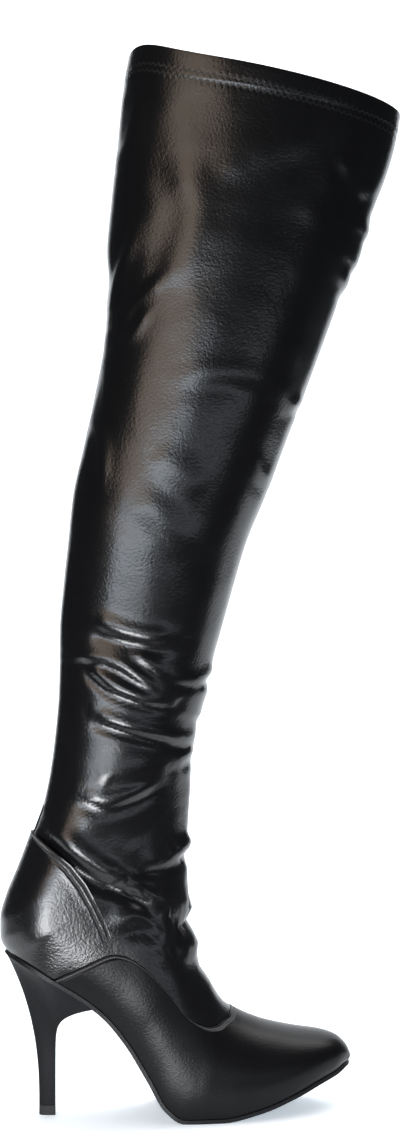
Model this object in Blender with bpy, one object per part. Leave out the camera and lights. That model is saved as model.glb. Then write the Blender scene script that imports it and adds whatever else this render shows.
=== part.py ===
"""A thigh high boot on a slim heel: sole, insole, vamp, counter, shaft, heel and top lift.

The boot points its toe along +X, its outer side faces -Y and it stands on Z = 0.
Every curved piece is worked out from one surface, skin_point(station, around).
"""
import math

import bmesh
import bpy
import numpy as np
from mathutils import Vector

# Named sizes, metres
foot_length = 0.233
heel_height = 0.107
instep_height = 0.080
ball_width = 0.073
boot_height = 0.698
collar_depth = 0.185
collar_width = 0.116
hem_height = 0.0175
sole_thickness = 0.0025
insole_thickness = 0.0020
tip_length = 0.0106
tip_width = 0.0094
lift_height = 0.0062
fit_gap = 0.0003
seam_gap = 0.00036

# Heights of the layers over or under the last's skin, metres
vamp_outside = 0.0006
vamp_inside = -0.0012
shaft_outside = 0.0
shaft_inside = -0.0012
hem_outside = 0.0008
counter_inside = 0.0006
counter_outside = 0.0016
sole_outside = 0.0012
insole_outside = -0.0026

# One row per section of the foot, toe to ankle. along, reach: shares of foot_length at the
# bottom and the top point. rise: share of heel_height. thick: share of instep_height.
# half, feather, swing: shares of ball_width. widest: height of the widest place in the section.
foot_columns = ("along", "rise", "reach", "thick", "half", "feather", "widest", "crown", "swing")
foot_rows = (
    (0.993, 0.268, 0.993, 0.000, 0.000, 0.000, 0.50, 1.00, 0.055),
    (0.987, 0.266, 1.000, 0.030, 0.075, 0.055, 0.45, 1.00, 0.055),
    (0.976, 0.264, 0.992, 0.081, 0.130, 0.103, 0.42, 1.00, 0.054),
    (0.950, 0.250, 0.961, 0.185, 0.233, 0.192, 0.38, 1.00, 0.050),
    (0.899, 0.221, 0.912, 0.281, 0.336, 0.295, 0.34, 1.00, 0.042),
    (0.813, 0.140, 0.830, 0.434, 0.438, 0.395, 0.30, 1.00, 0.028),
    (0.718, 0.053, 0.744, 0.619, 0.493, 0.459, 0.27, 1.04, 0.012),
    (0.615, 0.000, 0.667, 0.790, 0.523, 0.490, 0.25, 1.08, 0.000),
    (0.555, 0.000, 0.630, 0.865, 0.521, 0.486, 0.25, 1.10, -0.010),
    (0.504, 0.000, 0.607, 0.959, 0.504, 0.466, 0.26, 1.12, -0.020),
    (0.457, 0.067, 0.587, 0.975, 0.473, 0.425, 0.28, 1.12, -0.030),
    (0.409, 0.245, 0.562, 0.850, 0.438, 0.370, 0.31, 1.10, -0.038),
    (0.349, 0.460, 0.549, 0.738, 0.425, 0.336, 0.34, 1.08, -0.038),
    (0.289, 0.619, 0.536, 0.700, 0.425, 0.329, 0.34, 1.06, -0.030),
    (0.221, 0.740, 0.530, 0.738, 0.432, 0.349, 0.31, 1.04, -0.016),
    (0.135, 0.857, 0.528, 0.819, 0.445, 0.370, 0.27, 1.02, -0.004),
    (0.077, 0.936, 0.528, 0.888, 0.452, 0.320, 0.25, 1.00, 0.000),
    (0.040, 0.979, 0.528, 0.956, 0.456, 0.212, 0.24, 1.00, 0.000),
    (0.019, 0.997, 0.530, 1.031, 0.459, 0.000, 0.23, 1.00, 0.000),
    (0.002, 1.086, 0.532, 1.012, 0.459, 0.000, 0.24, 1.00, 0.000),
    (0.002, 1.189, 0.534, 0.956, 0.455, 0.000, 0.25, 1.00, 0.000),
    (0.019, 1.329, 0.536, 0.850, 0.448, 0.000, 0.28, 1.00, 0.000),
    (0.049, 1.488, 0.537, 0.738, 0.442, 0.000, 0.32, 1.00, 0.000),
    (0.088, 1.712, 0.541, 0.575, 0.442, 0.000, 0.38, 0.99, 0.000),
    (0.122, 1.927, 0.546, 0.463, 0.452, 0.000, 0.43, 0.98, 0.000),
    (0.145, 2.217, 0.554, 0.300, 0.468, 0.000, 0.47, 0.97, 0.000),
    (0.161, 2.600, 0.577, 0.013, 0.500, 0.000, 0.50, 0.96, 0.000),
)
# One row per section of the leg above it. rise_back, rise_front: shares of the height from
# the ankle to the collar. back, front: shares of collar_depth. half: share of collar_width.
leg_columns = ("rise_back", "rise_front", "back", "front", "half", "crown")
leg_rows = (
    (0.077, 0.075, 0.003, 0.573, 0.328, 0.95),
    (0.155, 0.152, 0.016, 0.622, 0.353, 0.94),
    (0.229, 0.229, 0.032, 0.673, 0.379, 0.93),
    (0.307, 0.307, 0.051, 0.746, 0.397, 0.92),
    (0.384, 0.384, 0.089, 0.812, 0.414, 0.92),
    (0.461, 0.463, 0.127, 0.881, 0.431, 0.91),
    (0.539, 0.541, 0.159, 0.947, 0.448, 0.91),
    (0.616, 0.618, 0.173, 1.011, 0.457, 0.90),
    (0.691, 0.686, 0.172, 1.072, 0.466, 0.90),
    (0.771, 0.756, 0.187, 1.127, 0.474, 0.89),
    (0.845, 0.812, 0.204, 1.178, 0.483, 0.88),
    (0.923, 0.865, 0.221, 1.215, 0.491, 0.87),
    (1.000, 0.915, 0.250, 1.235, 0.500, 0.86),
)
seat_station = 18.0
heel_round = 15.0
collar_station = float(len(foot_rows) + len(leg_rows) - 1)

# Seam between the vamp and the shaft, throat to heel: place around the section, station.
seam_rows = (
    (0.00, 7.3),
    (0.23, 7.6),
    (0.40, 8.6),
    (0.48, 9.8),
    (0.53, 11.2),
    (0.57, 12.3),
    (0.61, 13.6),
    (0.65, 14.3),
    (0.70, 14.6),
    (1.00, 14.95),
)
# Front edge of the counter: height as a share of heel_height, place along as a share of
# foot_length.
counter_rows = (
    (0.97, 0.319),
    (1.10, 0.304),
    (1.21, 0.286),
    (1.33, 0.261),
    (1.46, 0.229),
    (1.57, 0.190),
    (1.65, 0.148),
    (1.70, 0.118),
    (1.75, 0.086),
)

# Stations of the rows along the sole's edge, and of the shaft's rows up the back of the heel.
sole_stations = (
    0.0, 0.9, 1.6, 2.2, 2.8, 3.4, 4.0, 4.7, 5.4, 6.2, 7.0, 8.0, 9.0, 9.7, 10.4, 11.2,
    12.0, 13.0, 14.0, 14.95, 15.4, 15.8, 16.3, 16.9, 17.4, 17.75, 17.93, 18.0,
)
back_stations = (18.35, 18.8, 19.3, 19.8, 20.3, 20.8, 21.3, 21.8, 22.3, 22.9, 23.6, 24.5)
counter_stations = (15.05, 15.4, 15.8, 16.3, 16.9, 17.4, 17.75, 17.93, 18.12, 18.35, 18.8,
                    19.3, 19.8, 20.3, 20.8, 21.3, 21.8, 22.2, 22.5, 22.7, 22.83, 22.95)
counter_column_count = 12
counter_rear = 0.98
side_places = (0.0, 0.07, 0.14, 0.21, 0.28, 0.35, 0.41, 0.47, 0.53, 0.59, 0.65, 0.71, 0.77, 0.82,
               0.87, 0.91, 0.96, 1.0)
leg_row_count = 13
row_settle = 2.5
insole_front = 2.2
insole_back = 17.4
heel_breast = 14.0
counter_reach = (0.10, 0.97)
search_count = 24
# Depths of the heel's rings under the seat, and how fast its breast, its back and its sides
# draw in towards the tip.
heel_depths = (0.0, 0.03, 0.07, 0.12, 0.19, 0.28, 0.40, 0.55, 0.75, 1.0)
breast_power = 9.0
back_power = 2.4
side_power = 4.0
tip_share = 0.128
tip_roundness = 0.6
tip_count = 8
edge_zone = 0.005
step_size = 0.02


def slopes(values):
    """Slopes of a smooth curve through evenly spaced values, flat at every high or low."""
    steps = np.diff(values)
    result = np.zeros(len(values))
    result[0] = steps[0]
    result[-1] = steps[-1]
    for index in range(1, len(values) - 1):
        before = steps[index - 1]
        after = steps[index]
        if before * after > 0.0:
            result[index] = 2.0 * before * after / (before + after)
    return result


def curve_value(values, tangents, place):
    """Value of that curve at a place counted in rows."""
    place = min(max(place, 0.0), len(values) - 1.0)
    index = min(int(place), len(values) - 2)
    part = place - index
    turn = part * part * (3.0 - 2.0 * part)
    lead = part * (1.0 - part) ** 2
    trail = part * part * (part - 1.0)
    value = values[index] * (1.0 - turn) + values[index + 1] * turn
    return value + tangents[index] * lead + tangents[index + 1] * trail


def section_table():
    """Sizes in metres of every section, toe to collar, as smooth columns."""
    base = sole_thickness + fit_gap
    table = {name: [] for name in ("bx", "bz", "tx", "tz", "half", "feather", "widest", "crown",
                                   "base", "swing")}
    for row in foot_rows:
        cell = dict(zip(foot_columns, row))
        bottom = base + cell["rise"] * heel_height
        table["bx"].append(cell["along"] * foot_length)
        table["bz"].append(bottom)
        table["tx"].append(cell["reach"] * foot_length)
        table["tz"].append(bottom + cell["thick"] * instep_height)
        table["half"].append(cell["half"] * ball_width)
        table["feather"].append(cell["feather"] * ball_width)
        table["widest"].append(cell["widest"])
        table["crown"].append(cell["crown"])
        table["base"].append(min(1.0, cell["crown"]))
        table["swing"].append(cell["swing"] * ball_width)
    ankle_x = table["bx"][-1]
    ankle_z = table["bz"][-1]
    leg_height = boot_height - ankle_z
    for row in leg_rows:
        cell = dict(zip(leg_columns, row))
        table["bx"].append(ankle_x + cell["back"] * collar_depth)
        table["bz"].append(ankle_z + cell["rise_back"] * leg_height)
        table["tx"].append(ankle_x + cell["front"] * collar_depth)
        table["tz"].append(ankle_z + cell["rise_front"] * leg_height)
        table["half"].append(cell["half"] * collar_width)
        table["feather"].append(0.0)
        table["widest"].append(0.5)
        table["crown"].append(cell["crown"])
        table["base"].append(cell["crown"])
        table["swing"].append(0.0)
    return {name: (np.array(column), slopes(column)) for name, column in table.items()}


sections = section_table()


def sized(name, station):
    """One size of the section at a station."""
    if name == "feather" and station > heel_round:
        return round_seat(station)
    return curve_value(sections[name][0], sections[name][1], station)


def round_seat(station):
    """Half width of the sole's edge where it rounds the back of the heel, as an ellipse."""
    front = sized("bx", heel_round)
    back = sized("bx", seat_station)
    part = min((front - sized("bx", min(station, seat_station))) / (front - back), 1.0)
    return sized("feather", heel_round) * math.sqrt(max(1.0 - part * part, 0.0))


def skin_point(station, around):
    """Point on the last's skin. around runs from -1 (outer edge) over 0 (front) to 1 (inner)."""
    bottom = np.array((sized("bx", station), sized("swing", station), sized("bz", station)))
    top = np.array((sized("tx", station), sized("swing", station), sized("tz", station)))
    half = max(sized("half", station), 1e-6)
    feather = min(max(sized("feather", station), 0.0), 0.985 * half)
    widest = sized("widest", station)
    low_power = sized("base", station)
    start = math.asin((feather / half) ** (1.0 / low_power))
    angle = math.pi - (math.pi - start) * min(abs(around), 1.0)
    if angle < 0.5 * math.pi:
        share = widest * (1.0 - math.cos(angle) / math.cos(start))
        width = half * max(math.sin(angle), 0.0) ** low_power
    else:
        share = widest - (1.0 - widest) * math.cos(angle)
        width = half * max(math.sin(angle), 0.0) ** sized("crown", station)
    point = bottom + (top - bottom) * share
    point[1] += math.copysign(width, around)
    return point


def unit(vector):
    return vector / max(np.linalg.norm(vector), 1e-12)


def sole_frame(station):
    """Direction along the sole towards the toe and the direction square to it."""
    place = min(station, seat_station)
    low = max(place - step_size, 0.0)
    high = min(place + step_size, seat_station)
    forward = unit(np.array((
        sized("bx", low) - sized("bx", high), 0.0, sized("bz", low) - sized("bz", high))))
    return forward, np.array((-forward[2], 0.0, forward[0]))


def edge_direction(station, side):
    """Direction out of the sole's outline, in the plane of the sole."""
    forward, square = sole_frame(station)
    if station < step_size:
        return forward
    if station > seat_station - step_size:
        return -forward
    ahead = skin_point(station - step_size, side)
    behind = skin_point(station + step_size, side)
    along = unit(ahead - behind)
    out = np.cross(along, square)
    if out[1] * side < 0.0:
        out = -out
    return unit(out)


def skin_direction(station, around):
    """Direction out of the skin, turned into the plane of the sole at its edge."""
    forward, square = sole_frame(station)
    if station < step_size:
        return forward
    low = max(station - step_size, 0.03)
    high = min(station + step_size, collar_station)
    lengthwise = skin_point(high, around) - skin_point(low, around)
    middle = 0.5 * (low + high)
    across = (skin_point(middle, min(around + step_size, 1.0))
              - skin_point(middle, max(around - step_size, -1.0)))
    normal = unit(np.cross(across, lengthwise))
    if abs(around) > 0.999 and station > seat_station:
        normal = unit(np.array((normal[0], 0.0, normal[2])))
    place = min(station, seat_station)
    bottom = np.array((sized("bx", place), 0.0, sized("bz", place)))
    level = np.dot(skin_point(station, around) - bottom, square)
    blend = min(max(1.0 - level / edge_zone, 0.0), 1.0)
    return unit(normal - square * (np.dot(normal, square) * blend))


def layer_point(station, around, height):
    """Point at a height over the skin."""
    return skin_point(station, around) + skin_direction(station, around) * height


def edge_point(station, side, out, level):
    """Point beside the sole's outline: out across it, level square to the sole."""
    square = sole_frame(station)[1]
    outline = skin_point(station, side)
    return outline + edge_direction(station, side) * out + square * level


def seam_station(around):
    """Station where the seam crosses a place around the section."""
    places = [row[0] for row in seam_rows]
    stations = [row[1] for row in seam_rows]
    return float(np.interp(abs(around), places, stations))


def ring_places():
    """Places around a section from the outer edge over the front to the inner edge."""
    outer = [-place for place in reversed(side_places)]
    return outer + list(side_places[1:])


def layer_row(places, stations, height):
    """Points at one height over the skin, a station for each place."""
    return [layer_point(station, place, height) for place, station in zip(places, stations)]


def seam_row(places, height, shift):
    """Points on the seam at one height over the skin, shifted across it to the shaft."""
    points = [skin_point(seam_station(place), place) for place in places]
    last = len(points) - 1
    result = []
    for index, place in enumerate(places):
        ahead = points[min(index + 1, last)]
        behind = points[max(index - 1, 0)]
        along = unit(unit(ahead - points[index]) + unit(points[index] - behind))
        normal = skin_direction(seam_station(place), place)
        across = unit(np.cross(normal, along))
        result.append(points[index] + normal * height + across * shift)
    return result


def object_from(name, verts, faces, collection, color, roughness):
    """Mesh object with outward faces and a plain material of its own."""
    mesh = bpy.data.meshes.new(name)
    work = bmesh.new()
    made = [work.verts.new(Vector(point)) for point in verts]
    for face in faces:
        work.faces.new([made[index] for index in face])
    bmesh.ops.recalc_face_normals(work, faces=work.faces[:])
    work.to_mesh(mesh)
    work.free()
    item = bpy.data.objects.new(name, mesh)
    collection.objects.link(item)
    material = bpy.data.materials.new(name + "_finish")
    material.use_nodes = True
    shader = material.node_tree.nodes["Principled BSDF"]
    shader.inputs["Base Color"].default_value = (color[0], color[1], color[2], 1.0)
    shader.inputs["Roughness"].default_value = roughness
    mesh.materials.append(material)
    return item


def shell(rows_out, rows_in, closed_from, pole):
    """Faces of a hollow wall. Rows before closed_from are open strips, the others are rings.

    With a pole, the first row of either side is one point.
    """
    verts = []
    index_of = []
    for rows in (rows_out, rows_in):
        layer = []
        for number, row in enumerate(rows):
            if pole and number == 0:
                verts.append(row[0])
                layer.append([len(verts) - 1] * len(row))
                continue
            line = []
            for place, point in enumerate(row):
                if number >= closed_from and place == len(row) - 1:
                    line.append(line[0])
                    continue
                verts.append(point)
                line.append(len(verts) - 1)
            layer.append(line)
        index_of.append(layer)
    faces = []

    def add(corners):
        kept = []
        for corner in corners:
            if corner not in kept:
                kept.append(corner)
        if len(kept) > 2:
            faces.append(kept)

    count = len(rows_out)
    width = len(rows_out[0])
    for layer in index_of:
        for number in range(count - 1):
            for place in range(width - 1):
                add((layer[number][place], layer[number][place + 1],
                     layer[number + 1][place + 1], layer[number + 1][place]))
    outer, inner = index_of
    for place in range(width - 1):
        add((outer[-1][place], outer[-1][place + 1], inner[-1][place + 1], inner[-1][place]))
        if not pole:
            add((outer[0][place], outer[0][place + 1], inner[0][place + 1], inner[0][place]))
    for number in range(min(closed_from, count - 1)):
        for place in (0, -1):
            add((outer[number][place], outer[number + 1][place],
                 inner[number + 1][place], inner[number][place]))
    return verts, faces


def build_vamp(collection):
    """Front shell of the foot with its side wings, open underneath and at the seam."""
    places = ring_places()
    top = seam_station(1.0)
    shares = [station / top for station in sole_stations if station < top - 0.01]
    layers = []
    for height in (vamp_outside, vamp_inside):
        rows = [layer_row(places, [seam_station(place) * share for place in places], height)
                for share in shares]
        rows.append(seam_row(places, height, -0.5 * seam_gap))
        layers.append(rows)
    verts, faces = shell(layers[0], layers[1], len(layers[0]), True)
    return object_from("upper_vamp", verts, faces, collection, (0.012, 0.012, 0.013), 0.32)


def build_shaft(collection):
    """Leg tube from the seam and the heel seat to the collar, its hem a step in the wall."""
    places = ring_places()
    drop = hem_height / (sized("bz", collar_station) - sized("bz", collar_station - 1.0))
    hem_station = collar_station - drop
    start = seam_station(1.0)
    heel_stations = [station for station in sole_stations if station > start + 0.01]
    stations = heel_stations + list(back_stations)
    ankle = stations[-1]
    levels = []
    for station in stations:
        share = (station - start) / (ankle - start)
        levels.append([station - (start - seam_station(place)) * (1.0 - share) ** row_settle
                       for place in places])
    for number in range(1, leg_row_count + 1):
        station = ankle + (hem_station - ankle) * number / leg_row_count
        levels.append([station] * len(places))
    hem_levels = [[station] * len(places)
                  for station in (hem_station + 0.02, hem_station + 0.5 * drop, collar_station)]
    walls = []
    for height, hem in ((shaft_outside, hem_outside), (shaft_inside, shaft_inside)):
        rows = [seam_row(places, height, 0.5 * seam_gap)]
        rows += [layer_row(places, level, height) for level in levels]
        rows += [layer_row(places, level, hem) for level in hem_levels]
        walls.append(rows)
    verts, faces = shell(walls[0], walls[1], len(heel_stations), False)
    return object_from("upper_shaft", verts, faces, collection, (0.015, 0.015, 0.016), 0.42)


def counter_front(station):
    """Place around the section where the counter's front edge crosses it."""
    heights = [row[0] * heel_height for row in counter_rows]
    places = [row[1] * foot_length for row in counter_rows]
    ahead, behind = counter_reach
    for _ in range(search_count):
        middle = 0.5 * (ahead + behind)
        point = skin_point(station, middle)
        if point[0] > float(np.interp(point[2], heights, places)):
            ahead = middle
        else:
            behind = middle
    return 0.5 * (ahead + behind)


def counter_rows_at(height):
    """Rows of points over both flaps of the counter, at one height over the skin."""
    rows = []
    for station in counter_stations:
        front = counter_front(station)
        rear = counter_rear if station < seat_station else 1.0
        flap = [front + (rear - front) * number / (counter_column_count - 1.0)
                for number in range(counter_column_count)]
        places = [-place for place in reversed(flap)] + flap
        rows.append(layer_row(places, [station] * len(places), height))
    return rows


def build_counter(collection):
    """Heel panel over the shaft, cut between two heights of the same skin."""
    layers = [counter_rows_at(counter_outside), counter_rows_at(counter_inside)]
    closed_from = sum(1 for station in counter_stations if station < seat_station)
    verts, faces = two_sided(layers, closed_from)
    return object_from("counter", verts, faces, collection, (0.012, 0.012, 0.013), 0.3)


def two_sided(layers, closed_from):
    """Faces of a wall made of two flaps that join as one behind the seat."""
    width = len(layers[0][0])
    half = width // 2
    verts = []
    grids = []
    for rows in layers:
        grid = []
        for number, row in enumerate(rows):
            line = []
            for place, point in enumerate(row):
                if place == len(row) - 1 and number >= closed_from:
                    line.append(line[0])
                    continue
                verts.append(point)
                line.append(len(verts) - 1)
            grid.append(line)
        grids.append(grid)
    faces = []
    outer, inner = grids
    count = len(outer)
    for grid in grids:
        for number in range(count - 1):
            for place in range(width - 1):
                if place == half - 1:
                    continue
                faces.append([grid[number][place], grid[number][place + 1],
                              grid[number + 1][place + 1], grid[number + 1][place]])
    for place in range(width - 1):
        if place == half - 1:
            continue
        for number in (0, count - 1):
            faces.append([outer[number][place], outer[number][place + 1],
                          inner[number][place + 1], inner[number][place]])
    for number in range(count - 1):
        borders = [half - 1, half]
        if number < closed_from:
            borders += [0, width - 1]
        for place in borders:
            faces.append([outer[number][place], outer[number + 1][place],
                          inner[number + 1][place], inner[number][place]])
    return verts, faces


def plate(stations, out, low, high, blunt):
    """Faces of a sole plate: rows across the outline, closed to a point or blunt at its ends."""
    last = len(stations) - 1
    verts = []
    rows = []
    for number, station in enumerate(stations):
        pole = number in (0, last) and not blunt
        row = []
        for level in (high, low):
            if pole:
                verts.append(edge_point(station, 1.0, out, level))
                row.append([len(verts) - 1] * 3)
                continue
            outer = edge_point(station, -1.0, out, level)
            inner = edge_point(station, 1.0, out, level)
            verts += [outer, 0.5 * (outer + inner), inner]
            row.append([len(verts) - 3, len(verts) - 2, len(verts) - 1])
        rows.append(row)
    faces = []

    def add(corners):
        kept = []
        for corner in corners:
            if corner not in kept:
                kept.append(corner)
        if len(kept) > 2:
            faces.append(kept)

    for number in range(last):
        here = rows[number]
        ahead = rows[number + 1]
        for layer in (0, 1):
            for place in (0, 1):
                add((here[layer][place], here[layer][place + 1],
                     ahead[layer][place + 1], ahead[layer][place]))
        for place in (0, 2):
            add((here[0][place], ahead[0][place], ahead[1][place], here[1][place]))
    if blunt:
        for row in (rows[0], rows[-1]):
            for place in (0, 1):
                add((row[0][place], row[0][place + 1], row[1][place + 1], row[1][place]))
    return verts, faces


def build_outsole(collection):
    """Thin sole from the toe's point to the back of the seat."""
    verts, faces = plate(sole_stations, sole_outside, -fit_gap - sole_thickness, -fit_gap, False)
    return object_from("outsole", verts, faces, collection, (0.02, 0.02, 0.02), 0.55)


def build_insole(collection):
    """Thin plate on the sole, inside the upper."""
    stations = [station for station in sole_stations if insole_front <= station <= insole_back]
    verts, faces = plate(stations, insole_outside, 0.0, insole_thickness, True)
    return object_from("insole", verts, faces, collection, (0.10, 0.09, 0.08), 0.7)


def tip_ring(count, height):
    """Outline of the heel's tip: a straight front edge and a round back."""
    centre_x = tip_place()
    ring = []
    for side in (-1.0, 1.0):
        line = []
        for number in range(count):
            angle = 0.5 * math.pi * number / (count - 1)
            x = centre_x + tip_length * (0.5 - math.sin(angle))
            y = side * 0.5 * tip_width * max(math.cos(angle), 0.0) ** tip_roundness
            line.append(np.array((x, y, height)))
        ring.append(line)
    return ring


def tip_place():
    """Middle of the heel tip, under the middle of the seat's rear half."""
    return tip_share * foot_length


def build_heel(collection):
    """Slim block from the seat down to the tip."""
    stations = [station for station in sole_stations if station >= heel_breast]
    level = -2.0 * fit_gap - sole_thickness
    count = len(stations)
    tip_low = lift_height + fit_gap
    tip = tip_ring(count, tip_low)
    verts = []
    rings = []
    for depth in heel_depths:
        ring = []
        for side_number, side in enumerate((-1.0, 1.0)):
            line = []
            for number, station in enumerate(stations):
                if number == count - 1 and side_number == 1:
                    line.append(ring[0][-1])
                    continue
                seat = edge_point(station, side, 0.0, level)
                goal = tip[side_number][number]
                back = number / (count - 1.0)
                power = breast_power + (back_power - breast_power) * math.sqrt(back)
                draw = 1.0 - (1.0 - depth) ** power
                pinch = 1.0 - (1.0 - depth) ** side_power
                verts.append(np.array((
                    seat[0] + (goal[0] - seat[0]) * draw,
                    seat[1] + (goal[1] - seat[1]) * pinch,
                    seat[2] + (tip_low - seat[2]) * depth)))
                line.append(len(verts) - 1)
            ring.append(line)
        rings.append(ring)
    faces = []
    for upper_ring, lower_ring in zip(rings, rings[1:]):
        for side in (0, 1):
            for number in range(count - 1):
                faces.append([upper_ring[side][number], upper_ring[side][number + 1],
                              lower_ring[side][number + 1], lower_ring[side][number]])
        faces.append([upper_ring[0][0], upper_ring[1][0], lower_ring[1][0], lower_ring[0][0]])
    for ring in (rings[0], rings[-1]):
        for number in range(count - 2):
            faces.append([ring[0][number], ring[0][number + 1],
                          ring[1][number + 1], ring[1][number]])
        faces.append([ring[0][-2], ring[0][-1], ring[1][-2]])
    return object_from("heel", verts, faces, collection, (0.03, 0.03, 0.033), 0.5)


def build_top_lift(collection):
    """Wear tip: a short block of the tip's outline."""
    count = tip_count
    verts = []
    rings = []
    for height in (lift_height, 0.0):
        outline = tip_ring(count, height)
        line = outline[0] + list(reversed(outline[1][:-1]))
        rings.append(list(range(len(verts), len(verts) + len(line))))
        verts += line
    faces = [rings[0], rings[1]]
    size = len(rings[0])
    for number in range(size):
        after = (number + 1) % size
        faces.append([rings[0][number], rings[0][after], rings[1][after], rings[1][number]])
    return object_from("top_lift", verts, faces, collection, (0.01, 0.01, 0.01), 0.6)


def centre_on_floor(items):
    """Moves the meshes so that the whole boot stands centred on the origin."""
    corners = np.array([vert.co[:] for item in items for vert in item.data.vertices])
    low = corners.min(axis=0)
    high = corners.max(axis=0)
    middle = 0.5 * (low + high)
    shift = Vector((-middle[0], -middle[1], -low[2]))
    for item in items:
        for vert in item.data.vertices:
            vert.co += shift


def main():
    for item in list(bpy.data.objects):
        bpy.data.objects.remove(item, do_unlink=True)
    collection = bpy.data.collections.new("thigh_high_boot")
    bpy.context.scene.collection.children.link(collection)
    items = [
        build_outsole(collection),
        build_insole(collection),
        build_vamp(collection),
        build_counter(collection),
        build_shaft(collection),
        build_heel(collection),
        build_top_lift(collection),
    ]
    centre_on_floor(items)


main()
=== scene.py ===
import math

import bmesh
import bpy
import numpy as np
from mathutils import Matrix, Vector


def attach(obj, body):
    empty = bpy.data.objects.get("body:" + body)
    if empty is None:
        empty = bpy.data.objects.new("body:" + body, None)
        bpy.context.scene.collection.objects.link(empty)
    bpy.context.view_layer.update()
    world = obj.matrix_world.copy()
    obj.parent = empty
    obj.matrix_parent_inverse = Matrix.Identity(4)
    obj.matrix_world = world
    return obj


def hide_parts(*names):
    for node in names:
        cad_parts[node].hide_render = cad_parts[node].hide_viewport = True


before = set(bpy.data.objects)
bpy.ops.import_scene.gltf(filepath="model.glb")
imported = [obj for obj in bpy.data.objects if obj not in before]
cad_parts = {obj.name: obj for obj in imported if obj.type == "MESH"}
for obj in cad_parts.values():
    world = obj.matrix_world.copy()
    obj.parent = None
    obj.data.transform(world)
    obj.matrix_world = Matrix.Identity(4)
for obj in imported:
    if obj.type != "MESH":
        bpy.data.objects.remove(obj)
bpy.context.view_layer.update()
print("frame loaded")

# The boot's own sizes in metres, as in the part; only the toe's first rows are fuller underneath
boot = {"length": 0.233, "heel": 0.107, "instep": 0.080, "ball": 0.073, "height": 0.698,
        "collarDepth": 0.185, "collarWidth": 0.116, "hem": 0.0175, "sole": 0.0025, "fit": 0.0003,
        "seam": 0.00036, "middle": 0.13282, "lift": 0.0062, "tipLength": 0.0106, "tipWidth": 0.0094,
        "tipPlace": 0.128}
footNames = ("along", "rise", "reach", "thick", "half", "feather", "widest", "crown", "swing")
footRows = (
    (0.993, 0.250, 0.993, 0.000, 0.000, 0.000, 0.50, 1.00, 0.055),
    (0.987, 0.246, 1.000, 0.045, 0.075, 0.055, 0.45, 1.00, 0.055),
    (0.976, 0.238, 0.992, 0.113, 0.130, 0.103, 0.42, 1.00, 0.054),
    (0.950, 0.214, 0.961, 0.235, 0.233, 0.192, 0.38, 1.00, 0.050),
    (0.899, 0.178, 0.912, 0.343, 0.336, 0.295, 0.34, 1.00, 0.042),
    (0.813, 0.105, 0.830, 0.486, 0.438, 0.395, 0.30, 1.00, 0.028),
    (0.718, 0.040, 0.744, 0.638, 0.493, 0.459, 0.27, 1.04, 0.012),
    (0.615, 0.000, 0.667, 0.790, 0.523, 0.490, 0.25, 1.08, 0.000),
    (0.555, 0.000, 0.630, 0.865, 0.521, 0.486, 0.25, 1.10, -0.010),
    (0.504, 0.000, 0.607, 0.959, 0.504, 0.466, 0.26, 1.12, -0.020),
    (0.457, 0.067, 0.587, 0.975, 0.473, 0.425, 0.28, 1.12, -0.030),
    (0.409, 0.245, 0.562, 0.850, 0.438, 0.370, 0.31, 1.10, -0.038),
    (0.349, 0.460, 0.549, 0.738, 0.425, 0.336, 0.34, 1.08, -0.038),
    (0.289, 0.619, 0.536, 0.700, 0.425, 0.329, 0.34, 1.06, -0.030),
    (0.221, 0.740, 0.530, 0.738, 0.432, 0.349, 0.31, 1.04, -0.016),
    (0.135, 0.857, 0.528, 0.819, 0.445, 0.370, 0.27, 1.02, -0.004),
    (0.077, 0.936, 0.528, 0.888, 0.452, 0.320, 0.25, 1.00, 0.000),
    (0.040, 0.979, 0.528, 0.956, 0.456, 0.212, 0.24, 1.00, 0.000),
    (0.019, 0.997, 0.530, 1.031, 0.459, 0.000, 0.23, 1.00, 0.000),
    (0.002, 1.086, 0.532, 1.012, 0.459, 0.000, 0.24, 1.00, 0.000),
    (0.002, 1.189, 0.534, 0.956, 0.455, 0.000, 0.25, 1.00, 0.000),
    (0.019, 1.329, 0.536, 0.850, 0.448, 0.000, 0.28, 1.00, 0.000),
    (0.049, 1.488, 0.537, 0.738, 0.442, 0.000, 0.32, 1.00, 0.000),
    (0.088, 1.712, 0.541, 0.575, 0.442, 0.000, 0.38, 0.99, 0.000),
    (0.122, 1.927, 0.546, 0.463, 0.452, 0.000, 0.43, 0.98, 0.000),
    (0.145, 2.217, 0.554, 0.300, 0.468, 0.000, 0.47, 0.97, 0.000),
    (0.161, 2.600, 0.577, 0.013, 0.500, 0.000, 0.50, 0.96, 0.000),
)
legNames = ("riseBack", "riseFront", "back", "front", "half", "crown")
legRows = (
    (0.077, 0.075, 0.003, 0.573, 0.328, 0.95),
    (0.155, 0.152, 0.016, 0.622, 0.353, 0.94),
    (0.229, 0.229, 0.032, 0.673, 0.379, 0.93),
    (0.307, 0.307, 0.051, 0.746, 0.397, 0.92),
    (0.384, 0.384, 0.089, 0.812, 0.414, 0.92),
    (0.461, 0.463, 0.127, 0.881, 0.431, 0.91),
    (0.539, 0.541, 0.159, 0.947, 0.448, 0.91),
    (0.616, 0.618, 0.173, 1.011, 0.457, 0.90),
    (0.691, 0.686, 0.172, 1.072, 0.466, 0.90),
    (0.771, 0.756, 0.187, 1.127, 0.474, 0.89),
    (0.845, 0.812, 0.204, 1.178, 0.483, 0.88),
    (0.923, 0.865, 0.221, 1.215, 0.491, 0.87),
    (1.000, 0.915, 0.250, 1.235, 0.500, 0.86),
)
seamRows = ((0.00, 7.3), (0.23, 7.6), (0.40, 8.6), (0.48, 9.8), (0.53, 11.2), (0.57, 12.3),
            (0.61, 13.6), (0.65, 14.3), (0.70, 14.6), (1.00, 14.95))
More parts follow.
